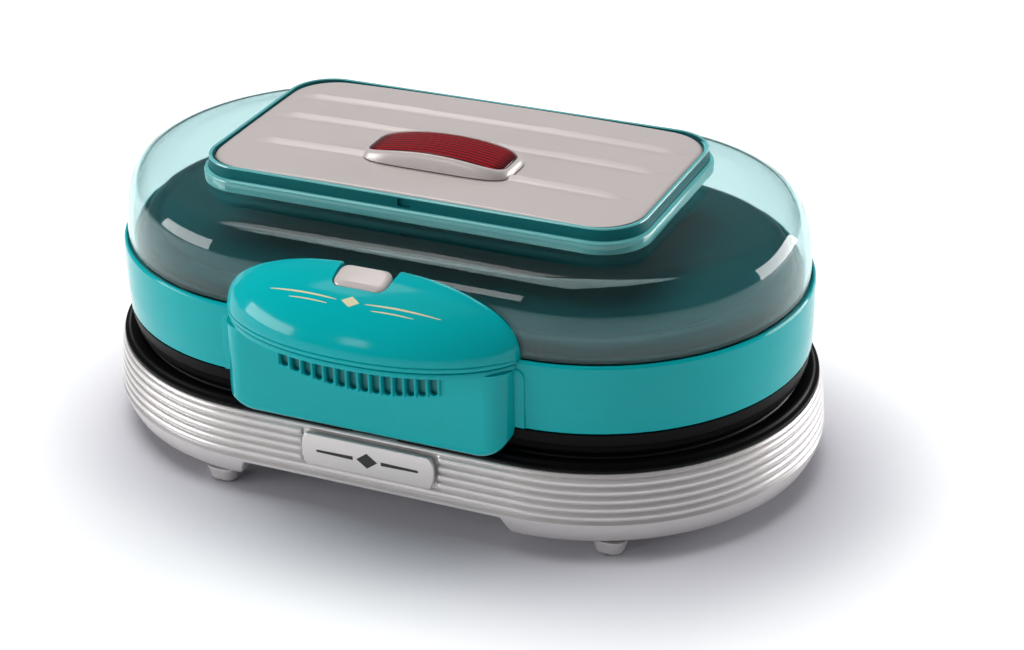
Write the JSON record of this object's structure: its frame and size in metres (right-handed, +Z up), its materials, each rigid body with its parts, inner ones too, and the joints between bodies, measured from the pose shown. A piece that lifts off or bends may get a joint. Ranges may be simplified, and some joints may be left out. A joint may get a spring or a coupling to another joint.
{
  "type": "two-well burger and sandwich press",
  "caption": "Lidded contact cooker with a capsule plan: ribbed silver base, teal lid band, tinted clear cover, front latch handle and hinged round cooking wells.",
  "frame": {"origin": "middle of the footprint on the worktop, under the middle of the closed appliance", "axes": "+X to the right along the long side, -Y towards the user and the handle, +Z up"},
  "size_m": [0.2818, 0.208, 0.1225],
  "materials": {
    "teal_gloss": "gloss moulded ABS",
    "teal_clear": "clear tinted polycarbonate, gloss",
    "silver_paint": "satin silver metallic paint on ABS",
    "black_plastic": "fine satin",
    "non_stick": "black satin non-stick coating on die-cast aluminium",
    "dark_housing": "smooth satin",
    "steel": "drawn",
    "tin": "bright plated",
    "rubber": "matte",
    "red_lens": "clear gloss over fine lines",
    "amber": "clear",
    "ceramic": "unglazed"
  },
  "bodies": {
    "base": {"base_housing": "silver_paint", "nameplate": "silver_paint", "bottom_cover": "dark_housing", "bottom_screw_1": "steel", "bottom_screw_2": "steel", "bottom_screw_3": "steel", "bottom_screw_4": "steel", "foot_front_left": "silver_paint", "foot_pad_front_left": "rubber", "foot_front_right": "silver_paint", "foot_pad_front_right": "rubber", "foot_rear_right": "silver_paint", "foot_pad_rear_right": "rubber", "foot_rear_left": "silver_paint", "foot_pad_rear_left": "rubber", "lower_bezel": "black_plastic", "lower_plate": "non_stick", "lower_plate_screw_front": "steel", "lower_plate_screw_rear": "steel", "lower_element": "steel", "lower_reflector": "tin", "plate_post_left": "ceramic", "plate_post_right": "ceramic", "thermostat": "ceramic", "thermal_fuse": "steel", "terminal_block": "ceramic", "cord_gland": "black_plastic", "hinge_bracket_left": "black_plastic", "hinge_bracket_right": "black_plastic", "hinge_pin_left": "steel", "hinge_pin_right": "steel", "latch_keeper": "steel"},
    "lid": {"lid_band": "teal_gloss", "upper_bezel": "black_plastic", "upper_plate": "non_stick", "upper_plate_screw_front": "steel", "upper_plate_screw_rear": "steel", "upper_element": "steel", "upper_reflector": "tin", "inner_housing": "dark_housing", "lid_cover": "teal_clear", "top_plate": "silver_paint", "badge_frame": "tin", "badge_lens": "red_lens", "pilot_lamp": "amber", "hinge_arm": "teal_gloss", "handle_body": "teal_gloss", "handle_cap": "teal_gloss", "hook_pin": "steel", "button_spring": "steel"},
    "button": {"latch_button": "silver_paint"},
    "hook": {"latch_hook": "steel"}
  },
  "joints": [
    {"name": "lid_hinge", "type": "hinge", "parent": "base", "child": "lid", "pos_m": [0, 0.095, 0.0445], "axis": [-1, 0, 0], "range_deg": [0, 100]},
    {"name": "button_press", "type": "slide", "parent": "lid", "child": "button", "axis": [0, 0, -1], "range_m": [0, 0.003], "stiffness_N_per_m": 300, "springref_m": -0.003, "deforming": ["button_spring"]},
    {"name": "hook_pivot", "type": "hinge", "parent": "lid", "child": "hook", "pos_m": [0, -0.0844, 0.062], "axis": [-1, 0, 0], "range_deg": [0, 4]}
  ],
  "couplings": [
    {"joint": "hook_pivot", "follows": "button_press", "rad_per_m": 22.1}
  ]
}
